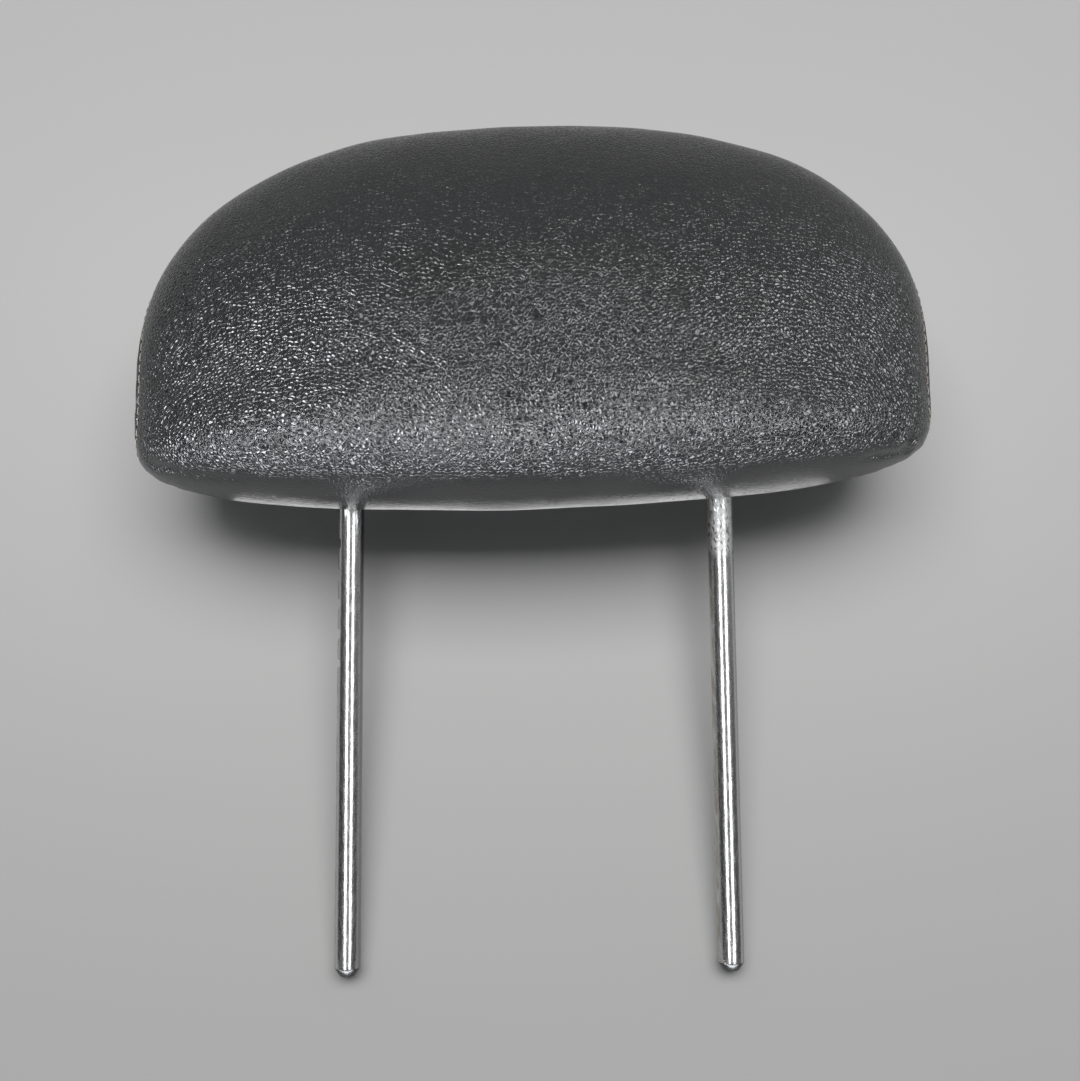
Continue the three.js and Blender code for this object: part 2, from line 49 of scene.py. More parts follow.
# Posts. Each notch is steep on the lip's side and has a ramp on the other, apart from the last, which is
# steep on both.
POST_RADIUS = 0.005
POST_REACH = 0.177
HOOP_BEND_RADIUS = 0.026
HOOP_BELOW_TOP = 0.05
TIP_CHAMFER_LENGTH = 0.003
TIP_CHAMFER_DEPTH = 0.0018
TIP_EDGE_ROUNDING = 0.0002
NOTCH_COUNT = 5
NOTCH_PITCH = 0.0118
NOTCH_DEPTH = 0.0015
NOTCH_LENGTH = 0.003
NOTCH_RAMP = 0.0024
NOTCH_EDGE = 0.00025
FIRST_NOTCH_BELOW_LIP = 0.01

# Cushion: half width, rise above and drop below its widest line, and depth before and behind it
PAD_HALF_WIDTH = 0.1555
PAD_RISE = 0.1025
PAD_DROP = 0.051
PAD_FRONT_DEPTH = 0.052
PAD_BACK_DEPTH = 0.0465
PAD_WIDEST_Z = 0.0085
PAD_SKEW = 0.025
LIP_OVERHANG = 0.008
LIP_Z = 0.014
UNDERSIDE_Z = -0.016

# Roundness of the cushion's outline and of its sections: higher is squarer
TOP_CORNER_POWER = 2.44
BOTTOM_CORNER_POWER = 6.3
BOTTOM_EDGE_BOW = 0.2
FRONT_CROWN_POWER = 2.1
BACK_CROWN_POWER = 2.4
SIDE_EDGE_POWER = 2.4
TOP_EDGE_POWER = 2.1
LIP_EDGE_POWER = 3.4
BACK_EDGE_POWER = 2.8

# Seam between the covers: its height at the sides, behind the top and at the bottom slit
SEAM_SIDE_Z = 0.021
SEAM_TOP_Z = -0.022
SEAM_BOTTOM_Z = 0.0
SEAM_TURNS_BACK_FROM = 0.1
SEAM_TURNS_UNDER_FROM = 0.3
SEAM_TURNS_UNDER_TO = 0.8
SEAM_HALF_GAP = 0.00015

# Covers
COVER_THICKNESS = 0.002
EDGE_ROLL = 0.0016
POST_CLEARANCE = 0.0004
FOAM_GAP = 0.0003

# Topstitching on the face, beside the seam
STITCH_FROM_SEAM = 0.0026
STITCH_PITCH = 0.0042
STITCH_GAP = 0.0009
THREAD_RADIUS = 0.0003
STITCH_VALLEY = 0.0003
STITCH_VALLEY_WIDTH = 0.0008
STITCH_PULL = 0.4
STITCH_IN_VALLEY = 0.7
POST_KEEPS_STITCHES_OFF = 0.009

# In thread radii: how far a stitch's middle stands above its ends, and how deep the ends lie
STITCH_ARCH = 2.1
STITCH_SUNK = 1.6

# Creases and lumps of the face, where it is pulled round its corners: both ends, width and depth. A lump's
# depth is below 0.
FACE_CREASES = (
    ((-0.147, 0.017, 0.022), (-0.13, 0.0135, 0.0335), 0.0022, 0.0013),
    ((-0.138, 0.0152, 0.028), (-0.1, 0.009, 0.0375), 0.0022, 0.0009),
    ((0.1455, 0.0215, 0.019), (0.137, 0.018, 0.0285), 0.002, 0.0012),
    ((0.141, 0.0197, 0.024), (0.118, 0.0148, 0.034), 0.0022, 0.0008),
    ((0.136, 0.025, 0.0345), (0.14, 0.021, 0.029), 0.0022, -0.0011),
    ((0.1425, 0.024, 0.0275), (0.145, 0.0205, 0.022), 0.002, -0.001),
    ((0.127, 0.0465, 0.042), (0.144, 0.0405, 0.0312), 0.001, 0.0004),
    ((0.125, 0.038, 0.0428), (0.1435, 0.0335, 0.0318), 0.001, 0.00035),
    ((-0.017, 0.0255, 0.058), (0.0075, 0.012, 0.0495), 0.001, 0.0003),
    ((-0.0075, 0.027, 0.0586), (0.002, 0.019, 0.0553), 0.0009, 0.00025),
)

# Shares of a crease's length: it is at full depth from the first and fades out from the second
CREASE_FULL_FROM = 0.35
CREASE_FADES_FROM = 0.5

# Broad waves and smaller ripples of the leather, and how far from the seam they set in
WAVE_HEIGHT = 0.0005
WAVE_SIZE = 0.07
WAVE_SETS_IN = (0.004, 0.04)
RIPPLE_HEIGHT = 0.00022
RIPPLE_SIZE = 0.022
RIPPLE_SETS_IN = (0.003, 0.015)

# Puckers beside the seam, higher and longer near the face's two lower corners
PUCKER_PITCH = 0.0055
PUCKER_LENGTH = 0.03
PUCKER_HEIGHT = 0.00012
PUCKER_EXTRA_AT_CORNERS = 0.0004
PUCKER_REACH = 0.006
PUCKER_REACH_AT_CORNERS = 0.014
CORNER_SHARE_OF_WIDTH = 0.93
CORNER_Y = 0.012
CORNER_REACH = 0.05

# Places in the noise that the waves, ripples and puckers are taken from
WAVE_SEED = 3.0
RIPPLE_SEED = 7.0
PUCKER_SEED = 11.0

# Fineness of the covers: cells across, how thin the cells at the rim are and how far in they are thinner,
# how strongly points crowd at corners and post holes, and the shares of the way in at which the lining has
# its rings
COVER_CELLS = 288
RIM_CELL = 0.15
RIM_REACH = 0.12
OUTLINE_SAMPLES = 5760
CORNER_CARE = 0.8
POST_CARE = 2.0
POST_CARE_REACH = 0.008
LINING_RINGS = (0.0, 0.01, 0.04, 0.1, 0.22, 0.4, 0.6, 0.8)

# Fineness of the other pieces
HOOP_SIDES = 72
NOTCH_STEP = 0.00025
LEG_STEP = 0.006
BEND_STEPS = 20
HOOP_SHARP_FROM = math.radians(25)
THREAD_SIDES = 8
THREAD_STEPS = 8
STITCH_SEARCH_SHARE = 0.12
STITCH_SEARCH_STEPS = 80
FOAM_CELLS = 96

# Camera and floor
CAMERA_PLACE = Vector((-0.00817, -0.10391, 0.44692))
CAMERA_DOWN = math.radians(75.825)
CAMERA_TURN = math.radians(5.185)
CAMERA_ROLL = math.radians(4.653)
SENSOR = 36.0
PICTURE_LONG_SIDE = 1081
FOCAL_PIXELS = 1083
CLIP_START = 0.01
FLOOR_HALF = 12.0

RIGHT_ANGLE = math.pi / 2
MM = 0.001


# Place of the posts' frame in the world

def mount(name):
    return next(m for m in frame["record"]["mounts"] if m["name"] == name)


def posts_place():
    """Lays the posts' frame down so that the left post's end is where the record says."""
    left, right = [Vector(mount(n)["pos_m"]) for n in ("left_post_tip", "right_post_tip")]
    axis = Vector(mount("left_post_tip")["axis"])
    turn = Matrix.Rotation(math.atan2(-axis.z, -axis.y), 4, "X")
    half = (right - left).length / 2
    return half, Matrix.Translation(left - turn @ Vector((-half, -POST_REACH, 0))) @ turn


POST_X, PLACE = posts_place()
TURN = np.array(PLACE.to_3x3())
SHIFT = np.array(PLACE.translation)


def to_world(points):
    """Points of the posts' frame, laid down."""
    return points @ TURN.T + SHIFT


# Cushion surface

def smoothstep(value, low, high):
    t = np.clip((value - low) / (high - low), 0, 1)
    return t * t * (3 - 2 * t)


def mix(low, high, share):
    return low + (high - low) * share


def bottom_drop(x):
    """The height of the outline's lower edge, as a share of the drop."""
    square = np.clip(1 - np.abs(x) ** BOTTOM_CORNER_POWER, 0, None) ** (1 / BOTTOM_CORNER_POWER)
    return square * (1 - BOTTOM_EDGE_BOW * x * x)


def unit_outline(turn):
    """The cushion seen from the front, as a D of half width, rise and drop 1, from its lowest point round."""
    angle = 2 * np.pi * turn - RIGHT_ANGLE
    above = np.sin(angle) >= 0
    power = np.where(above, 2 / TOP_CORNER_POWER, 2 / BOTTOM_CORNER_POWER)
    x = np.sign(np.cos(angle)) * np.abs(np.cos(angle)) ** power
    return x, np.where(above, np.abs(np.sin(angle)) ** power, -bottom_drop(x))


def outline_places():
    """Equal steps round the outline take equal shares of its length, its turning and its post holes."""
    turn = np.linspace(0, 1, OUTLINE_SAMPLES + 1)
    x, y = unit_outline(turn)
    real = np.stack([x * PAD_HALF_WIDTH, y * np.where(y >= 0, PAD_RISE, PAD_DROP)], -1)
    run = np.diff(real, axis=0)
    length = np.hypot(run[:, 0], run[:, 1])
    heading = np.unwrap(np.arctan2(run[:, 1], run[:, 0]))
    turning = np.abs(np.diff(heading, append=heading[0] + 2 * np.pi)) / (2 * np.pi)
    middle = (real[1:] + real[:-1]) / 2
    near_post = np.exp(-((np.abs(middle[:, 0]) - POST_X) / POST_CARE_REACH) ** 2) * (middle[:, 1] < 0)
    weight = length * (1 + POST_CARE * near_post) / length.sum() + CORNER_CARE * turning
    measure = np.concatenate([[0], np.cumsum(weight)])
    return measure / measure[-1], turn


MEASURE, OUTLINE_TURN = outline_places()


def edge_at(share):
    """The place on the unit outline that is that share of the way round."""
    return unit_outline(np.interp(share % 1.0, MEASURE, OUTLINE_TURN))


def edge_power(edge_y, front):
    """Roundness of the section through that part of the outline."""
    towards = np.where(edge_y >= 0, TOP_EDGE_POWER, LIP_EDGE_POWER)
    return np.where(front, mix(SIDE_EDGE_POWER, towards, edge_y * edge_y), BACK_EDGE_POWER)


def section_angle(z):
    """The angle at which a section of the cushion reaches that height."""
    front = z > PAD_WIDEST_Z
    share = np.abs(z - PAD_WIDEST_Z) / np.where(front, PAD_FRONT_DEPTH, PAD_BACK_DEPTH)
    power = np.where(front, FRONT_CROWN_POWER, BACK_CROWN_POWER) / 2
    angle = np.arcsin(np.clip(share, 0, 1) ** power)
    return np.where(front, angle, -angle)


def pad_point(edge, angle, inset):
    """A point of the cushion: angle runs from the middle of the back (-90 degrees) to that of the face."""
    edge_x, edge_y = edge
    front = angle > 0
    shrink = np.clip(np.cos(angle), 0, 1) ** (2 / edge_power(edge_y, front))
    crown = np.abs(np.sin(angle)) ** (2 / np.where(front, FRONT_CROWN_POWER, BACK_CROWN_POWER))
    z = PAD_WIDEST_Z + crown * np.where(front, PAD_FRONT_DEPTH - inset, inset - PAD_BACK_DEPTH)
    undercut = LIP_OVERHANG * (1 - smoothstep(z, UNDERSIDE_Z, LIP_Z))
    reach = np.where(edge_y >= 0, PAD_RISE, PAD_DROP - undercut)
    x = edge_x * (PAD_HALF_WIDTH - inset) * shrink
    y = edge_y * (reach - inset) * shrink
    return np.stack([x, y + PAD_DROP + x * PAD_SKEW, z], -1)


def seam_height(edge_y):
    """The seam's height where it passes that part of the outline."""
    back = smoothstep(edge_y, SEAM_TURNS_BACK_FROM, 1)
    under = smoothstep(-edge_y, SEAM_TURNS_UNDER_FROM, SEAM_TURNS_UNDER_TO)
    above = mix(SEAM_SIDE_Z, SEAM_TOP_Z, back)
    return np.where(edge_y >= 0, above, mix(SEAM_SIDE_Z, SEAM_BOTTOM_Z, under))


def rim_angle(edge, side):
    """Where a cover ends: at the seam, and round the posts' holes."""
    edge_x, edge_y = edge
    aside = np.abs(np.abs(edge_x * PAD_HALF_WIDTH) - POST_X)
    radius = POST_RADIUS + POST_CLEARANCE
    hole = np.sqrt(np.clip(radius ** 2 - aside ** 2, 0, None)) * (edge_y < 0)
    return section_angle(seam_height(edge_y) + side * np.maximum(SEAM_HALF_GAP, hole))


def cover_point(side, share_round, share_in, inset):
    """A point of a cover, share_in of the way from its rim to its middle."""
    edge = edge_at(share_round)
    rim = rim_angle(edge, side)
    return pad_point(edge, mix(rim, side * RIGHT_ANGLE, share_in), inset)


def edge_roll(distance):
    """How far a cover's edge has turned in at that distance from the seam."""
    left = np.clip(EDGE_ROLL - distance, 0, EDGE_ROLL)
    return EDGE_ROLL - np.sqrt(EDGE_ROLL ** 2 - left ** 2)


def from_seam(side, share_round, share_in):
    """Straight distances of a cover's points from its rim."""
    here = cover_point(side, share_round, share_in, 0.0)
    rim = cover_point(side, share_round, np.zeros_like(share_in), 0.0)
    return np.linalg.norm(here - rim, axis=-1)


# Small forms of the leather, as heights above the smooth cushion

def field(points, size, seed):
    """Smooth noise from about -1 to 1, whose bumps are that size."""
    flat = points.reshape(-1, points.shape[-1]) / size + seed
    values = [noise.noise(p) for p in flat]
    return np.array(values).reshape(points.shape[:-1]) * 2


def seam_lengths(count):
    """Distance along the seam, from the bottom round, at equal shares of the way."""
    share = np.arange(count + 1) / count
    points = cover_point(1, share, np.zeros(count + 1), 0.0)
    steps = np.linalg.norm(np.diff(points, axis=0), axis=-1)
    return share, np.concatenate([[0], np.cumsum(steps)])


SEAM_SHARE, SEAM_LENGTH = seam_lengths(4 * COVER_CELLS)


def seam_length_at(share_round):
    return np.interp(share_round % 1.0, SEAM_SHARE, SEAM_LENGTH)


def corner_nearness(points):
    """1 at the two lower corners of the face, falling to 0 within their reach."""
    nearest = np.full(points.shape[:-1], 1.0)
    for side in (-1, 1):
        corner = np.array([side * PAD_HALF_WIDTH * CORNER_SHARE_OF_WIDTH, CORNER_Y, PAD_WIDEST_Z])
        nearest = np.minimum(nearest, np.linalg.norm(points - corner, axis=-1) / CORNER_REACH)
    return 1 - smoothstep(nearest, 0, 1)


def crease_height(points, start, end, width, depth):
    """A valley along a line on the leather, which fades in from its first end and out to its second."""
    start = np.array(start)
    run = np.array(end) - start
    share = np.clip((points - start) @ run / (run @ run), 0, 1)
    aside = np.linalg.norm(points - start - share[..., None] * run, axis=-1)
    strength = smoothstep(share, 0, CREASE_FULL_FROM) * (1 - smoothstep(share, CREASE_FADES_FROM, 1))
    return -depth * np.exp(-(aside / width) ** 2) * strength


def leather_height(side, points, share_round, distance):
    """How far the leather stands above the smooth cushion."""
    along = seam_length_at(share_round)
    near_corner = corner_nearness(points)
    height = WAVE_HEIGHT * field(points, WAVE_SIZE, WAVE_SEED) * smoothstep(distance, *WAVE_SETS_IN)
    height += RIPPLE_HEIGHT * field(points, RIPPLE_SIZE, RIPPLE_SEED) * smoothstep(distance, *RIPPLE_SETS_IN)
    across = np.stack([along / PUCKER_PITCH, distance / PUCKER_LENGTH, np.zeros_like(along)], -1)
    pucker = field(across, 1.0, PUCKER_SEED + side)
    pucker_height = PUCKER_HEIGHT + PUCKER_EXTRA_AT_CORNERS * near_corner
    pucker_reach = mix(PUCKER_REACH, PUCKER_REACH_AT_CORNERS, near_corner)
    height += pucker_height * pucker * np.exp(-distance / pucker_reach)
    if side > 0:
        height += sum(crease_height(points, *crease) for crease in FACE_CREASES)
        valley = np.exp(-((distance - STITCH_FROM_SEAM) / STITCH_VALLEY_WIDTH) ** 2)
        pull = 0.5 + 0.5 * np.cos(2 * np.pi * along / STITCH_PITCH)
        height -= STITCH_VALLEY * valley * (1 - STITCH_PULL + STITCH_PULL * pull)
    return height * smoothstep(distance, 0, EDGE_ROLL)


# Mesh helpers

def new_object(name, mesh):
    piece = bpy.data.objects.new(name, mesh)
    bpy.context.scene.collection.objects.link(piece)
    return piece


def closed_mesh(name, points, faces):
    """A smooth mesh whose faces all point out."""
    mesh = bpy.data.meshes.new(name)
    mesh.from_pydata(points.tolist(), [], faces)
    edit = bmesh.new()
    edit.from_mesh(mesh)
    bmesh.ops.recalc_face_normals(edit, faces=edit.faces)
    edit.to_mesh(mesh)
    edit.free()
    mesh.shade_smooth()
    return mesh


def denser_at_rim(inwards):
    """Draws the grid's rings together near the rim, where cells have the least share of their depth."""
    return inwards - RIM_REACH * (1 - RIM_CELL) * (1 - np.exp(-inwards / RIM_REACH))


def disc_grid(cells):
    """A square grid laid over a disc: each point's share in from the rim and its share of the way round."""
    line = np.linspace(-1, 1, cells + 1)
    a, b = np.meshgrid(line, line, indexing="ij")
    ring = np.maximum(np.abs(a), np.abs(b))
    scale = np.where(ring > 0, ring, 1)
    across, up = a / scale, b / scale
    sides = [b == -ring, a == ring, b == ring]
    shares = [across / 8, 0.25 + up / 8, 0.5 - across / 8]
    share_round = np.select(sides, shares, 0.75 - up / 8) % 1.0
    return denser_at_rim(1 - ring) / denser_at_rim(1.0), share_round


def grid_faces(cells):
    row = cells + 1
    return [
        (i * row + j, (i + 1) * row + j, (i + 1) * row + j + 1, i * row + j + 1)
        for i in range(cells) for j in range(cells)
    ]


def grid_rim(cells):
    """The grid's outer points in order, from the middle of its bottom side round."""
    row = cells + 1
    half = cells // 2
    bottom = [(i, 0) for i in range(cells)]
    right = [(cells, j) for j in range(cells)]
    top = [(cells - i, cells) for i in range(cells)]
    left = [(0, cells - j) for j in range(cells)]
    rim = bottom[half:] + right + top + left + bottom[:half]
    return [i * row + j for i, j in rim]


def ring_faces(first, second):
    count = len(first)
    return [
        (first[k], first[(k + 1) % count], second[(k + 1) % count], second[k])
        for k in range(count)
    ]


def unit(vectors):
    """The vectors' directions, with length 1. A zero vector stays as it is."""
    length = np.linalg.norm(vectors, axis=-1, keepdims=True)
    return vectors / np.where(length > 0, length, 1)


def grid_normals(points, side):
    return side * unit(np.cross(np.gradient(points, axis=0), np.gradient(points, axis=1)))


def on_table(points, height):
    """World points with the back pressed flat where the cushion lies."""
    world = to_world(points)
    world[..., 2] = np.maximum(world[..., 2], height)
    return world


# Covers

def make_cover(name, side):
    """The face (side 1) or the back (side -1): a fine outer surface, rolled in at its rim, and a lining."""
    share_in, share_round = disc_grid(COVER_CELLS)
    distance = from_seam(side, share_round, share_in)
    outside = cover_point(side, share_round, share_in, edge_roll(distance))
    height = leather_height(side, outside, share_round, distance)
    outside = outside + grid_normals(outside, side) * height[..., None]
    points = [on_table(outside, 0.0).reshape(-1, 3)]
    faces = grid_faces(COVER_CELLS)
    last = grid_rim(COVER_CELLS)
    count = len(last)
    start = len(points[0])
    way_round = np.arange(count) / count
    for share in LINING_RINGS:
        inside = cover_point(side, way_round, np.full(count, share), COVER_THICKNESS)
        points.append(on_table(inside, COVER_THICKNESS))
        ring = list(range(start, start + count))
        faces += ring_faces(last, ring)
        last = ring
        start += count
    points.append(on_table(cover_point(side, np.zeros(1), np.ones(1), COVER_THICKNESS), COVER_THICKNESS))
    faces += [(last[k], last[(k + 1) % count], start) for k in range(count)]
    return new_object(name, closed_mesh(name, np.concatenate(points), faces))


# Topstitching

def stitch_line(share_round):
    """Points and outward directions of the stitched line, on the face beside the seam."""
    shares = np.linspace(0, STITCH_SEARCH_SHARE, STITCH_SEARCH_STEPS)
    way, inwards = np.meshgrid(share_round, shares, indexing="ij")
    distance = from_seam(1, way, inwards)
    surface = cover_point(1, way, inwards, 0.0)
    lifted = cover_point(1, way, inwards, -MM)
    places, outwards = [], []
    for row in range(len(share_round)):
        place = [np.interp(STITCH_FROM_SEAM, distance[row], surface[row, :, k]) for k in range(3)]
        above = [np.interp(STITCH_FROM_SEAM, distance[row], lifted[row, :, k]) for k in range(3)]
        places.append(place)
        outwards.append(np.array(above) - place)
    return np.array(places), unit(np.array(outwards))


def stitch_points(place, outward):
    """Points of one stitch, ring by ring: a thread that arches, with both ends sunk into the leather."""
    share = np.linspace(0, 1, THREAD_STEPS + 1)
    arch = np.sqrt(np.clip(1 - (2 * share - 1) ** 4, 0, 1))
    height = THREAD_RADIUS * (STITCH_ARCH * arch - STITCH_SUNK) - STITCH_VALLEY * STITCH_IN_VALLEY
    centre = place + outward * height[:, None]
    along = unit(np.gradient(centre, axis=0))
    aside = unit(np.cross(along, outward))
    up = np.cross(aside, along)
    angle = 2 * np.pi * np.arange(THREAD_SIDES)[:, None] / THREAD_SIDES
    ring = np.cos(angle) * aside[:, None] + np.sin(angle) * up[:, None]
    return (centre[:, None] + THREAD_RADIUS * ring).reshape(-1, 3)


def stitch_faces(first):
    starts = [first + k * THREAD_SIDES for k in range(THREAD_STEPS + 1)]
    rings = [list(range(start, start + THREAD_SIDES)) for start in starts]
    faces = [face for low, high in zip(rings, rings[1:]) for face in ring_faces(low, high)]
    return [*faces, tuple(reversed(rings[0])), tuple(rings[-1])]


def make_thread(name):
    """Single stitches along the whole seam, except at the posts."""
    count = int(SEAM_LENGTH[-1] / STITCH_PITCH)
    pitch = SEAM_LENGTH[-1] / count
    starts = np.arange(count)[:, None] * pitch + STITCH_GAP / 2
    lengths = starts + (pitch - STITCH_GAP) * np.linspace(0, 1, THREAD_STEPS + 1)
    places, outwards = stitch_line(np.interp(lengths.ravel(), SEAM_LENGTH, SEAM_SHARE))
    shape = (count, THREAD_STEPS + 1, 3)
    points, faces = [], []
    for place, outward in zip(places.reshape(shape), outwards.reshape(shape)):
        middle = place[THREAD_STEPS // 2]
        if middle[1] < PAD_DROP and abs(abs(middle[0]) - POST_X) < POST_KEEPS_STITCHES_OFF:
            continue
        faces += stitch_faces(len(points))
        points.extend(stitch_points(place, outward))
    return new_object(name, closed_mesh(name, on_table(np.array(points), 0.0), faces))


# Posts

def notch_cut(y):
    """How deep the notches cut into the left post's outer side at that height."""
    cut = 0.0
    for i in range(NOTCH_COUNT):
        top = -FIRST_NOTCH_BELOW_LIP - i * NOTCH_PITCH
        ramp = NOTCH_EDGE if i == NOTCH_COUNT - 1 else NOTCH_RAMP
        heights = [top - NOTCH_LENGTH - ramp, top - NOTCH_LENGTH, top - NOTCH_EDGE, top]
        cut = max(cut, np.interp(y, heights, [0, NOTCH_DEPTH, NOTCH_DEPTH, 0]))
    return cut


def leg_heights(fine):
    """Radius and height of each of a leg's rings, from its tip up to the bend."""
    end = POST_RADIUS - TIP_CHAMFER_DEPTH
    rows = [
        (end - TIP_EDGE_ROUNDING, -POST_REACH),
        (end, -POST_REACH + TIP_EDGE_ROUNDING),
        (POST_RADIUS - TIP_EDGE_ROUNDING / 2, -POST_REACH + TIP_CHAMFER_LENGTH - TIP_EDGE_ROUNDING),
        (POST_RADIUS, -POST_REACH + TIP_CHAMFER_LENGTH + TIP_EDGE_ROUNDING),
    ]
    notches_end = -FIRST_NOTCH_BELOW_LIP - NOTCH_COUNT * NOTCH_PITCH
    bend_start = PAD_DROP + PAD_RISE - HOOP_BELOW_TOP - HOOP_BEND_RADIUS
    spans = [(rows[-1][1], notches_end, LEG_STEP), (notches_end, 0, NOTCH_STEP if fine else LEG_STEP)]
    for low, high, step in [*spans, (0, bend_start, LEG_STEP)]:
        count = math.ceil((high - low) / step)
        rows += [(POST_RADIUS, low + (high - low) * (k + 1) / count) for k in range(count)]
    return rows


def hoop_stations():
    """Centre, direction across and radius of each ring of the bar, from the left tip to the right one."""
    top = PAD_DROP + PAD_RISE - HOOP_BELOW_TOP
    centre_y = top - HOOP_BEND_RADIUS
    centre_x = POST_X - HOOP_BEND_RADIUS
    stations = [(np.array([-POST_X, y, 0]), np.array([-1.0, 0, 0]), r) for r, y in leg_heights(True)]
    for k in range(1, 2 * BEND_STEPS + 1):
        angle = math.pi - math.pi * k / (2 * BEND_STEPS)
        side = -1 if k <= BEND_STEPS else 1
        out = np.array([math.cos(angle), math.sin(angle), 0])
        stations.append((np.array([side * centre_x, centre_y, 0]) + HOOP_BEND_RADIUS * out, out, POST_RADIUS))
        if k == BEND_STEPS:
            stations.append((np.array([centre_x, top, 0]), out, POST_RADIUS))
    right = [(np.array([POST_X, y, 0]), np.array([1.0, 0, 0]), r) for r, y in leg_heights(False)]
    return stations + right[-2::-1]


def make_hoop(name):
    """Both posts and the bend that joins them inside the cushion, as one bar."""
    angles = 2 * np.pi * np.arange(HOOP_SIDES) / HOOP_SIDES
    points, faces, rings = [], [], []
    for centre, out, radius in hoop_stations():
        reach = np.cos(angles) * radius
        if centre[0] == -POST_X and centre[1] < 0:
            reach = np.minimum(reach, POST_RADIUS - notch_cut(centre[1]))
        ring = centre + reach[:, None] * out + (np.sin(angles) * radius)[:, None] * np.array([0, 0, 1.0])
        rings.append(list(range(len(points), len(points) + HOOP_SIDES)))
        points.extend(ring)
    for first, second in zip(rings, rings[1:]):
        faces += ring_faces(first, second)
    faces += [tuple(rings[0]), tuple(rings[-1])]
    mesh = closed_mesh(name, to_world(np.array(points)), faces)
    mesh.set_sharp_from_angle(angle=HOOP_SHARP_FROM)
    return new_object(name, mesh)


# Foam

def hull_object(name, points):
    """The smallest solid without hollows round the points."""
    edit = bmesh.new()
    for p in points:
        edit.verts.new(p)
    hull = bmesh.ops.convex_hull(edit, input=edit.verts)
    inside = [v for v in hull["geom_interior"] if isinstance(v, bmesh.types.BMVert)]
    bmesh.ops.delete(edit, geom=inside, context="VERTS")
    mesh = bpy.data.meshes.new(name)
    edit.to_mesh(mesh)
    edit.free()
    return new_object(name, mesh)


def core_slot():
    """The space that the core fills, grown by the gap and run out through the foam's bottom."""
    points = [v.co for n in ("core_front", "core_rear") for v in frame["nodes"][n].data.vertices]
    middle = sum(points, Vector()) / len(points)
    reach = max((p - middle).length for p in points)
    grown = [middle + (p - middle) * (1 + 2 * FOAM_GAP / reach) for p in points]
    down = Vector(mount("left_post_tip")["axis"]) * PAD_DROP
    return hull_object("core_slot", grown + [p + down for p in grown])


def make_foam(name):
    """The bun that fills the covers, with a slot cut out for the core."""
    inset = COVER_THICKNESS + FOAM_GAP
    share_in, share_round = disc_grid(FOAM_CELLS)
    sides = []
    for side in (1, -1):
        edge = edge_at(share_round)
        angle = mix(section_angle(seam_height(edge[1])), side * RIGHT_ANGLE, share_in)
        sides.append(on_table(pad_point(edge, angle, inset), inset).reshape(-1, 3))
    rim = grid_rim(FOAM_CELLS)
    row_count = len(sides[0])
    same = dict(zip((k + row_count for k in rim), rim))
    front = grid_faces(FOAM_CELLS)
    back = [tuple(same.get(k + row_count, k + row_count) for k in face) for face in front]
    mesh = closed_mesh(name, np.concatenate(sides), front + back)
    edit = bmesh.new()
    edit.from_mesh(mesh)
    loose = [v for v in edit.verts if not v.link_faces]
    bmesh.ops.delete(edit, geom=loose, context="VERTS")
    edit.to_mesh(mesh)
    edit.free()
    foam = new_object(name, mesh)
    slot = core_slot()
    cut = foam.modifiers.new("slot", "BOOLEAN")
    cut.object = slot
    cut.operation = "DIFFERENCE"
    cut.solver = "EXACT"
    shown = foam.evaluated_get(bpy.context.evaluated_depsgraph_get())
    result = bpy.data.meshes.new_from_object(shown)
    foam.modifiers.clear()
    foam.data = result
    bpy.data.objects.remove(slot)
    return foam


# Materials. Noise scales are waves or cells for each millimetre, and colours are linear.

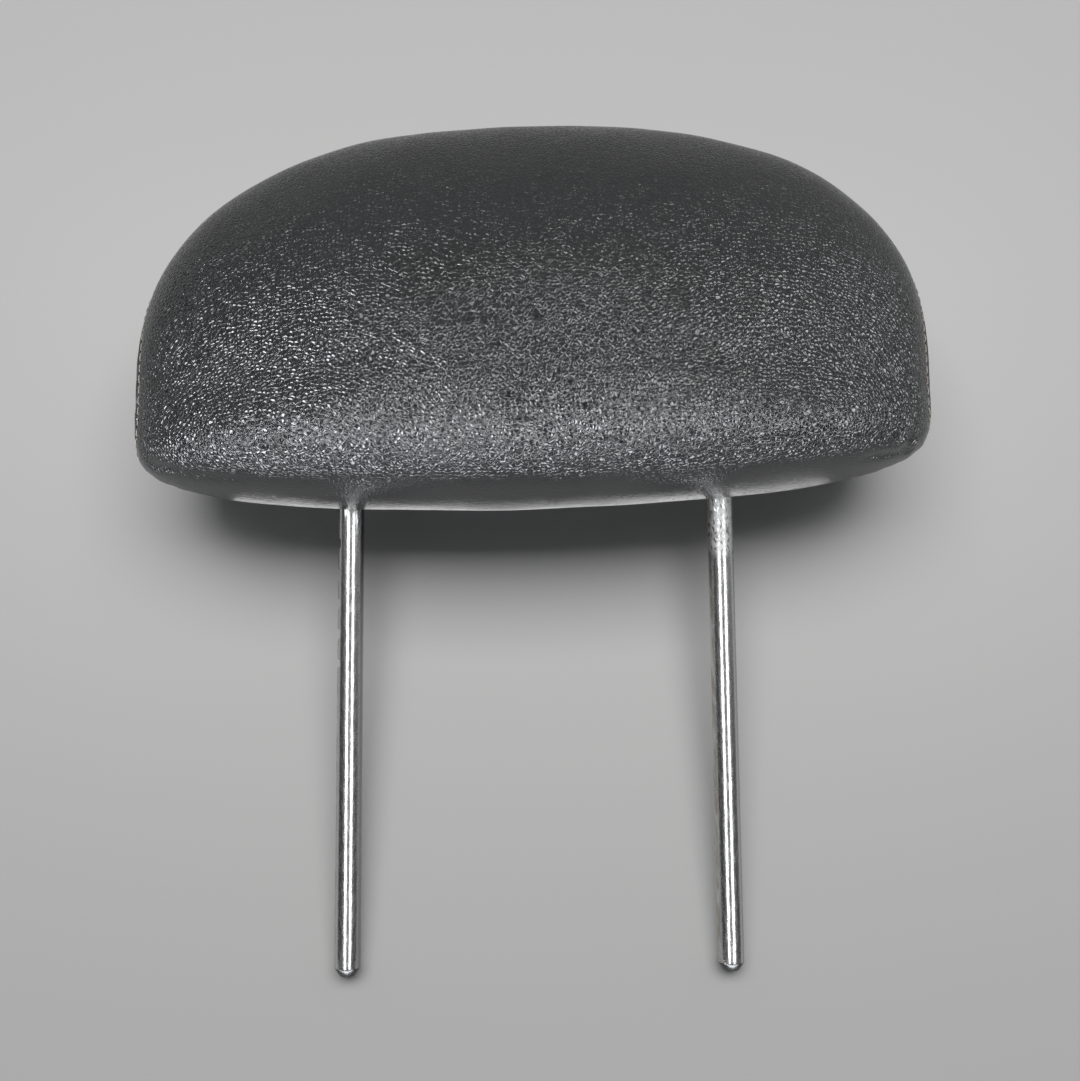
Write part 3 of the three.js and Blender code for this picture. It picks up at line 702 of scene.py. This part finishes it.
class Nodes:
    """A node tree that is put together one node at a time."""

    def __init__(self, tree):
        self.tree = tree
        tree.nodes.clear()

    def add(self, kind, *inputs, out=0, **settings):
        """Makes a node and returns the output asked for.

        Inputs are values or other nodes' outputs, in their order or by name. Settings are the node's own.
        """
        node = self.tree.nodes.new(kind)
        named = settings.pop("inputs", {})
        for key, value in settings.items():
            setattr(node, key, value)
        for key, value in [*enumerate(inputs), *named.items()]:
            if isinstance(value, bpy.types.NodeSocket):
                self.tree.links.new(value, node.inputs[key])
            else:
                node.inputs[key].default_value = value
        return node.outputs[out] if node.outputs else node

    def math(self, operation, *values):
        return self.add("ShaderNodeMath", *values, operation=operation)

    def plus(self, first, second, weight):
        """The first value plus the second one times its weight."""
        return self.math("ADD", first, self.math("MULTIPLY", second, weight))

    def vector(self, operation, *values):
        return self.add("ShaderNodeVectorMath", *values, operation=operation)

    def along(self, axis, vector):
        """The vector's part along the axis 0, 1 or 2."""
        return self.add("ShaderNodeSeparateXYZ", vector, out=axis)

    def noise(self, place, scale, detail=2.0, out=0):
        inputs = {"Vector": place, "Scale": scale, "Detail": detail}
        return self.add("ShaderNodeTexNoise", out=out, inputs=inputs)

    def between(self, value, low, high, to_low=0.0, to_high=1.0):
        """Turns a value that runs from low to high smoothly into one that runs from to_low to to_high."""
        values = (value, low, high, to_low, to_high)
        return self.add("ShaderNodeMapRange", *values, interpolation_type="SMOOTHSTEP")

    def blend(self, share, first, second):
        """Mixes two colours. The node's sockets 6 and 7 are the colours, and its output 2 is their mixture."""
        inputs = {0: share, 6: first, 7: second}
        return self.add("ShaderNodeMix", data_type="RGBA", out=2, inputs=inputs)

    def place_mm(self):
        """The piece's own coordinates, in millimetres."""
        return self.vector("MULTIPLY", self.add("ShaderNodeTexCoord", out="Object"), (1000, 1000, 1000))

    def facing(self, axis):
        """How far the surface faces along the axis 0, 1 or 2, from -1 to 1."""
        return self.along(axis, self.add("ShaderNodeTexCoord", out="Normal"))

    def bump(self, strength, depth, height):
        return self.add("ShaderNodeBump", inputs={"Strength": strength, "Distance": depth, "Height": height})

    def surface(self, **sockets):
        inputs = {key.replace("_", " "): value for key, value in sockets.items()}
        shader = self.add("ShaderNodeBsdfPrincipled", inputs=inputs)
        self.add("ShaderNodeOutputMaterial", shader)


def new_material(name):
    material = bpy.data.materials.new(name)
    material.use_nodes = True
    return material, Nodes(material.node_tree)


# Leather: places are warped, and cells with domes and grooves, fine wrinkles and pores make the grain. The
# grooves' colour is darkened as painted shade.

LEATHER_COLOUR = (0.008, 0.0082, 0.0087, 1)
GROOVE_PAINTED_SHADE = 0.55
FACE_ROUGHNESS = 0.18
REAR_ROUGHNESS = 0.22
LEATHER_SPECULAR = 0.8
WIDE_WARP_SCALE = 0.022
WIDE_WARP_MM = 9.0
NARROW_WARP_SCALE = 0.14
NARROW_WARP_MM = 1.4
GRAIN_SCALE = 0.65
GRAIN_RANDOMNESS = 0.85
GROOVE_REACH = 0.12
DOME_REACH = 0.5
GROOVE_WEIGHT = 0.25
WRINKLE_SCALE = 0.16
WRINKLE_WIDTH = 0.03
WRINKLE_WEIGHT = 0.3
PORE_SCALE = 2.4
PORE_WEIGHT = 0.12
PATCH_SCALE = 0.02

# Patches of this noise are polished or dulled by wear, which adds to the leather's roughness
PATCH_EDGES = (0.35, 0.65)
POLISHED = -0.04
DULLED = 0.05

# The grain gets deeper, and its shine clearer, as the leather turns from upright to level. A turn is given
# by the height of the surface's normal, from 0 to 1.
GRAIN_TURN = (0.2, 0.65)
GRAIN_DEPTH_AT_SIDES = 0.00006
GRAIN_DEPTH_ON_TOP = 0.00023
DULL_TURN = (0.1, 0.6)
DULLER_AT_SIDES = 0.05


def warp(nodes, place, scale, reach):
    """A shift of the place, by noise, of up to half the reach each way."""
    noise_colour = nodes.noise(place, scale, 1.0, out="Color")
    centred = nodes.vector("SUBTRACT", noise_colour, (0.5, 0.5, 0.5))
    return nodes.vector("MULTIPLY", centred, (reach, reach, reach))


def leather_material(name, roughness):
    material, nodes = new_material(name)
    place = nodes.place_mm()
    wide = warp(nodes, place, WIDE_WARP_SCALE, WIDE_WARP_MM)
    narrow = warp(nodes, place, NARROW_WARP_SCALE, NARROW_WARP_MM)
    warped = nodes.vector("ADD", nodes.vector("ADD", place, wide), narrow)
    cells = {"Vector": warped, "Scale": GRAIN_SCALE, "Randomness": GRAIN_RANDOMNESS}
    to_edge = nodes.add("ShaderNodeTexVoronoi", feature="DISTANCE_TO_EDGE", inputs=cells)
    groove = nodes.between(to_edge, 0.0, GROOVE_REACH)
    dome = nodes.between(to_edge, 0.0, DOME_REACH)
    ridge = nodes.math("ABSOLUTE", nodes.math("SUBTRACT", nodes.noise(warped, WRINKLE_SCALE, 1.0), 0.5))
    wrinkle = nodes.between(ridge, 0.0, WRINKLE_WIDTH)
    height = nodes.plus(dome, groove, GROOVE_WEIGHT)
    height = nodes.plus(height, wrinkle, WRINKLE_WEIGHT)
    height = nodes.plus(height, nodes.noise(place, PORE_SCALE, 1.0), PORE_WEIGHT)
    level = nodes.math("ABSOLUTE", nodes.facing(2))
    depth = nodes.between(level, *GRAIN_TURN, GRAIN_DEPTH_AT_SIDES, GRAIN_DEPTH_ON_TOP)
    # Painted shade: the colour is darker in the grain's grooves
    dark = [part * GROOVE_PAINTED_SHADE for part in LEATHER_COLOUR[:3]] + [1]
    patchy = nodes.noise(place, PATCH_SCALE, 3.0)
    worn = nodes.between(patchy, *PATCH_EDGES, roughness + POLISHED, roughness + DULLED)
    nodes.surface(
        Base_Color=nodes.blend(groove, dark, LEATHER_COLOUR),
        Roughness=nodes.math("ADD", worn, nodes.between(level, *DULL_TURN, DULLER_AT_SIDES, 0.0)),
        Normal=nodes.bump(1.0, depth, height),
        Specular_IOR_Level=LEATHER_SPECULAR,
    )
    return material


# Thread

THREAD_DARK = (0.15, 0.13, 0.11, 1)
THREAD_LIGHT = (0.3, 0.265, 0.23, 1)
THREAD_ROUGHNESS = 0.55
STRAND_SCALE = 1.2
STRAND_DEPTH = 0.0001
STRAND_STRENGTH = 0.7


def thread_material():
    material, nodes = new_material("thread")
    waves = {"Vector": nodes.place_mm(), "Scale": STRAND_SCALE, "Distortion": 2.0}
    strands = nodes.add("ShaderNodeTexWave", inputs=waves)
    colour = nodes.blend(strands, THREAD_DARK, THREAD_LIGHT)
    relief = nodes.bump(STRAND_STRENGTH, STRAND_DEPTH, strands)
    nodes.surface(Base_Color=colour, Roughness=THREAD_ROUGHNESS, Normal=relief)
    return material


# Steel of the posts: bright, with streaks along them. Scuffs and a pebbled shine show where the posts are
# worn, and both ends are dark.
# The left-facing sides have blotches of rust tint that are partly painted shade, and the right-facing sides
# are greyed as painted shade.

STEEL_DARK = (0.66, 0.66, 0.66, 1)
STEEL_LIGHT = (0.8, 0.8, 0.8, 1)
# Painted shade on the posts' right-facing sides
STEEL_PAINTED_SHADE_SIDE = (0.3, 0.3, 0.31, 1)
STEEL_END = (0.1, 0.1, 0.1, 1)
# Tint of the left-facing sides: rust, and partly painted shade
BROWN_RUST_AND_SHADE = (0.34, 0.27, 0.21, 1)
OLIVE_RUST_AND_SHADE = (0.38, 0.37, 0.31, 1)
STEEL_SMOOTH = 0.19
STEEL_DULL = 0.32
SPECK_SCALE = 1.5
SPECK_WEIGHT = 0.3
SCUFF_ROUGHNESS = 0.35
SCUFF_PIT_SCALE = 3.0
SCUFF_EDGES = (0.42, 0.52)
RELIEF_DEPTH = 0.00003
RELIEF_STRENGTH = 0.35
RUST_AND_SHADE_SCALE = 0.12
RUST_AND_SHADE_STRENGTH = 0.85
BLOTCH_EDGES = (0.35, 0.6)
LEAST_BLOTCH = 0.3

# Noise scales across the posts and along them, and the two values of the wear between which they turn dull
STREAK_SCALES = (1.6, 0.04)
SCUFF_SCALES = (1.4, 0.5)
BLOTCH_SCALES = (0.5, 0.12)
DULL_EDGES = (0.4, 0.95)

# Millimetres: the right post lies beyond this x, and its scuffs set in between these y, towards the lip
RIGHT_POST_FROM_X = 10
SCUFFS_SET_IN = (-9, -1)

# How far the surface faces left, right or towards the ends where each tint sets in: left the rust tint that is
# partly painted shade, right the painted shade, and the dark ends
RUST_AND_SHADE_FACES = (-0.95, -0.7)
PAINTED_SHADE_FACES = (0.66, 0.95)
END_FACES = (-0.35, -0.2)


def drawn_out_noise(nodes, place, across, along):
    """Noise with these scales across the posts and along them."""
    return nodes.noise(nodes.vector("MULTIPLY", place, (across, along, across)), 1.0, 3.0)


def steel_material():
    material, nodes = new_material("post_steel")
    place = nodes.place_mm()
    streaks = drawn_out_noise(nodes, place, *STREAK_SCALES)
    specks = nodes.noise(place, SPECK_SCALE, 3.0)
    on_right = nodes.between(nodes.along(0, place), 0, RIGHT_POST_FROM_X)
    near_lip = nodes.math("MULTIPLY", nodes.between(nodes.along(1, place), *SCUFFS_SET_IN), on_right)
    scuffs = nodes.between(drawn_out_noise(nodes, place, *SCUFF_SCALES), *SCUFF_EDGES)
    scuffed = nodes.math("MULTIPLY", near_lip, scuffs)
    wear = nodes.plus(streaks, specks, SPECK_WEIGHT)
    roughness = nodes.between(wear, *DULL_EDGES, STEEL_SMOOTH, STEEL_DULL)
    roughness = nodes.plus(roughness, scuffed, SCUFF_ROUGHNESS)
    relief = nodes.plus(streaks, scuffed, nodes.noise(place, SCUFF_PIT_SCALE))
    relief = nodes.plus(relief, on_right, specks)
    facing = nodes.facing(0)
    # Blotches of rust tint on the left-facing sides, which are partly painted shade
    blotches = drawn_out_noise(nodes, place, *BLOTCH_SCALES)
    blotched = nodes.between(blotches, *BLOTCH_EDGES, LEAST_BLOTCH, 1.0)
    rust_and_shade = nodes.math("MULTIPLY", blotched, RUST_AND_SHADE_STRENGTH)
    rust_and_shade = nodes.math("MULTIPLY", rust_and_shade, nodes.between(facing, *RUST_AND_SHADE_FACES, 1.0, 0.0))
    rust_and_shade_colour = nodes.blend(nodes.noise(place, RUST_AND_SHADE_SCALE, 3.0), BROWN_RUST_AND_SHADE, OLIVE_RUST_AND_SHADE)
    colour = nodes.blend(rust_and_shade, nodes.blend(specks, STEEL_DARK, STEEL_LIGHT), rust_and_shade_colour)
    # The right-facing sides are greyed: painted shade
    colour = nodes.blend(nodes.between(facing, *PAINTED_SHADE_FACES), colour, STEEL_PAINTED_SHADE_SIDE)
    colour = nodes.blend(nodes.between(nodes.facing(1), *END_FACES, 1.0, 0.0), colour, STEEL_END)
    relief = nodes.bump(RELIEF_STRENGTH, RELIEF_DEPTH, relief)
    nodes.surface(Base_Color=colour, Metallic=1.0, Roughness=roughness, Normal=relief)
    return material


# Plastic of the core and of the closing strips

CORE_COLOUR = (0.12, 0.125, 0.13, 1)
CORE_ROUGHNESS = 0.6
STRIP_COLOUR = (0.05, 0.05, 0.055, 1)
STRIP_ROUGHNESS = 0.45
PLASTIC_SHADE = 0.8
PLASTIC_PATCH_SCALE = 0.05
PLASTIC_GRAIN_SCALE = 1.8
PLASTIC_GRAIN_DEPTH = 0.00005
PLASTIC_GRAIN_STRENGTH = 0.4


def plastic_material(name, colour, roughness):
    material, nodes = new_material(name)
    place = nodes.place_mm()
    darker = [part * PLASTIC_SHADE for part in colour[:3]] + [1]
    tone = nodes.blend(nodes.noise(place, PLASTIC_PATCH_SCALE), darker, colour)
    grain = nodes.noise(place, PLASTIC_GRAIN_SCALE, 3.0)
    grain = nodes.bump(PLASTIC_GRAIN_STRENGTH, PLASTIC_GRAIN_DEPTH, grain)
    nodes.surface(Base_Color=tone, Roughness=roughness, Normal=grain)
    return material


# Zinc of the screws

ZINC_DARK = (0.5, 0.5, 0.45, 1)
ZINC_LIGHT = (0.7, 0.7, 0.66, 1)
ZINC_SCALE = 0.8
ZINC_EDGES = (0.3, 0.7)
ZINC_SMOOTH = 0.28
ZINC_DULL = 0.45


def zinc_material():
    material, nodes = new_material("screw_steel")
    patches = nodes.noise(nodes.place_mm(), ZINC_SCALE, 3.0)
    tone = nodes.blend(patches, ZINC_DARK, ZINC_LIGHT)
    roughness = nodes.between(patches, *ZINC_EDGES, ZINC_SMOOTH, ZINC_DULL)
    nodes.surface(Base_Color=tone, Metallic=1.0, Roughness=roughness)
    return material


# Foam

FOAM_DARK = (0.58, 0.5, 0.3, 1)
FOAM_LIGHT = (0.8, 0.74, 0.52, 1)
FOAM_ROUGHNESS = 0.95
FOAM_SCALE = 1.4
FOAM_DEPTH = 0.0003
FOAM_STRENGTH = 0.8


def foam_material():
    material, nodes = new_material("foam")
    cells = nodes.add("ShaderNodeTexVoronoi", inputs={"Vector": nodes.place_mm(), "Scale": FOAM_SCALE})
    tone = nodes.blend(cells, FOAM_DARK, FOAM_LIGHT)
    relief = nodes.bump(FOAM_STRENGTH, FOAM_DEPTH, cells)
    nodes.surface(Base_Color=tone, Roughness=FOAM_ROUGHNESS, Normal=relief)
    return material


def paint(piece, material):
    """Gives a piece, or a CAD node that stays, its material."""
    if not piece.material_slots:
        piece.data.materials.append(material)
    for place in piece.material_slots:
        place.material = material


# Stage

FLOOR_COLOUR = (0.5, 0.5, 0.495, 1)
FLOOR_ROUGHNESS = 0.4
SKY_COLOUR = (0.97, 0.985, 1.0, 1)

# Sky: its brightness on the viewer's side and beyond the cushion, the share of it that is left on the left,
# and the directions between which each changes
SKY_NEAR = 0.05
SKY_FAR = 0.45
SKY_LEFT_SHARE = 0.3
SKY_BRIGHTENS = (-0.3, 0.5)
SKY_LEFT_FADES = (-1.0, -0.6)

# Ceiling lights run along the posts, and the cool panels are bluer than they are
CEILING_Y = -0.48
CEILING_HEIGHT = 1.05
CEILING_LENGTH = 1.44
CEILING_WIDTH = 0.2
PANEL_HEIGHT = 0.34
WHITE = (1, 1, 1)
COOL = (0.92, 0.96, 1.0)

# The panels aim at the cushion. The floor's own lamp is behind it, and the bounce lamp lies under its lip.
CUSHION_MIDDLE = (0, 0, 0.08)
FLOOR_LAMP_PLACE = (0, 0.7, 1.9)
BOUNCE_Y = 0.008
BOUNCE_HEIGHT = 0.002


def make_floor():
    mesh = bpy.data.meshes.new("floor")
    corners = [(x * FLOOR_HALF, y * FLOOR_HALF, 0) for x, y in ((-1, -1), (1, -1), (1, 1), (-1, 1))]
    mesh.from_pydata(corners, [], [(0, 1, 2, 3)])
    floor = new_object("floor", mesh)
    material, nodes = new_material("floor_paint")
    nodes.surface(Base_Color=FLOOR_COLOUR, Roughness=FLOOR_ROUGHNESS)
    paint(floor, material)
    return floor


def make_world():
    world = bpy.data.worlds.new("studio")
    world.use_nodes = True
    bpy.context.scene.world = world
    nodes = Nodes(world.node_tree)
    direction = nodes.add("ShaderNodeTexCoord", out="Generated")
    from_back = nodes.between(nodes.along(1, direction), *SKY_BRIGHTENS, SKY_NEAR, SKY_FAR)
    from_right = nodes.between(nodes.along(0, direction), *SKY_LEFT_FADES, SKY_LEFT_SHARE, 1.0)
    background = nodes.add("ShaderNodeBackground", SKY_COLOUR, nodes.math("MULTIPLY", from_back, from_right))
    nodes.add("ShaderNodeOutputWorld", background)


def area_light(name, place, target, size, watts, colour=WHITE):
    """A rectangle of light, width by length, that faces its target and that the camera doesn't see."""
    light = bpy.data.lights.new(name, "AREA")
    light.shape = "RECTANGLE"
    light.size, light.size_y = size
    light.energy = watts
    light.color = colour
    lamp = bpy.data.objects.new(name, light)
    lamp.location = place
    lamp.rotation_euler = (Vector(target) - Vector(place)).to_track_quat("-Z", "Y").to_euler()
    lamp.visible_camera = False
    bpy.context.scene.collection.objects.link(lamp)
    return lamp


def ceiling_light(name, x, width, watts):
    place = (x, CEILING_Y, CEILING_HEIGHT)
    return area_light(name, place, (x, CEILING_Y, 0), (width, CEILING_LENGTH), watts)


def choose_lit(lamp, lit, *pieces):
    """A lamp lights either those pieces alone or everything but them."""
    group = bpy.data.collections.new(f"{lamp.name}_chosen")
    for piece in pieces:
        group.objects.link(piece)
    for entry in group.collection_objects:
        entry.light_linking.link_state = "INCLUDE" if lit else "EXCLUDE"
    lamp.light_linking.receiver_collection = group


def make_lights(floor, hoop):
    """Ceiling lights along the posts, a low soft panel behind the viewer, and weaker ones for the leather.

    The floor has a soft lamp of its own from behind, so its shadow lies in front of the cushion's lip. A weak
    light under the lip brightens its edge, as the table does in the photograph.
    """
    for_all = [
        ceiling_light("ceiling_left", x=-0.4, width=CEILING_WIDTH, watts=6.0),
        ceiling_light("ceiling_middle", x=0.5, width=CEILING_WIDTH, watts=6.4),
        area_light(
            "front_panel", (-0.3, -1.6, PANEL_HEIGHT), (-0.3, 0, PANEL_HEIGHT),
            size=(3.0, 0.32), watts=38.0, colour=COOL,
        ),
    ]
    for_leather = [
        ceiling_light("ceiling_right", x=0.95, width=0.16, watts=5.6),
        area_light("left_panel", (-1.1, -0.65, 1.0), CUSHION_MIDDLE, (0.8, 0.5), watts=26.0, colour=COOL),
        area_light("right_panel", (1.1, -0.2, 0.8), CUSHION_MIDDLE, (0.5, 0.5), watts=6.0, colour=COOL),
        area_light("front_soft", (0, -0.75, 1.2), (0, 0, 0.05), (1.6, 0.6), watts=3.4),
        area_light(
            "lip_bounce", (0, BOUNCE_Y, BOUNCE_HEIGHT), (0, BOUNCE_Y, 1),
            size=(0.26, 0.014), watts=0.018,
        ),
    ]
    for lamp in for_all:
        choose_lit(lamp, False, floor)
    for lamp in for_leather:
        choose_lit(lamp, False, floor, hoop)
    floor_lamp = area_light("floor_lamp", FLOOR_LAMP_PLACE, (0, -0.1, 0), (2.6, 1.1), watts=38.0)
    choose_lit(floor_lamp, True, floor)


def make_camera():
    """The photograph's camera: its place, how far it looks down, its turn to the right and its roll."""
    data = bpy.data.cameras.new("camera")
    data.sensor_width = SENSOR
    data.lens = SENSOR * FOCAL_PIXELS / PICTURE_LONG_SIDE
    data.clip_start = CLIP_START
    forward = Vector((
        math.sin(CAMERA_TURN) * math.cos(CAMERA_DOWN),
        math.cos(CAMERA_TURN) * math.cos(CAMERA_DOWN),
        -math.sin(CAMERA_DOWN),
    ))
    right = forward.cross(Vector((0, 0, 1))).normalized()
    up = right.cross(forward)
    roll = Matrix.Rotation(CAMERA_ROLL, 3, -forward)
    right, up = roll @ right, roll @ up
    turn = Matrix((right, up, -forward)).transposed().to_4x4()
    camera = bpy.data.objects.new("camera", data)
    camera.matrix_world = Matrix.Translation(CAMERA_PLACE) @ turn
    bpy.context.scene.collection.objects.link(camera)
    bpy.context.scene.camera = camera


# The whole

def add_piece(piece, material, slot, *nodes):
    paint(piece, material)
    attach(piece, "root")
    if nodes:
        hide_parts(*nodes)
    return piece


make_camera()
make_world()

face_leather = leather_material("face_leather", FACE_ROUGHNESS)
rear_leather = leather_material("rear_leather", REAR_ROUGHNESS)
face = add_piece(make_cover("leather_face", 1), face_leather, "face_leather", "front_cover")
back = add_piece(make_cover("leather_back", -1), rear_leather, "rear_leather", "rear_cover")
bun = add_piece(make_foam("foam_bun"), foam_material(), "foam", "foam_pad")
add_piece(make_thread("seam_topstitch"), thread_material(), None)
hoop = add_piece(make_hoop("steel_hoop"), steel_material(), "post_steel", "post_hoop")
make_lights(make_floor(), hoop)

core_plastic = plastic_material("core_plastic", CORE_COLOUR, CORE_ROUGHNESS)
strip_plastic = plastic_material("strip_plastic", STRIP_COLOUR, STRIP_ROUGHNESS)
zinc = zinc_material()
for node, material in (
    ("core_front", core_plastic),
    ("core_rear", core_plastic),
    ("closure_hook_front", strip_plastic),
    ("closure_hook_rear", strip_plastic),
    *((f"core_screw_{i}", zinc) for i in range(1, 5)),
):
    paint(frame["nodes"][node], material)

bpy.context.scene.view_settings.view_transform = "Standard"
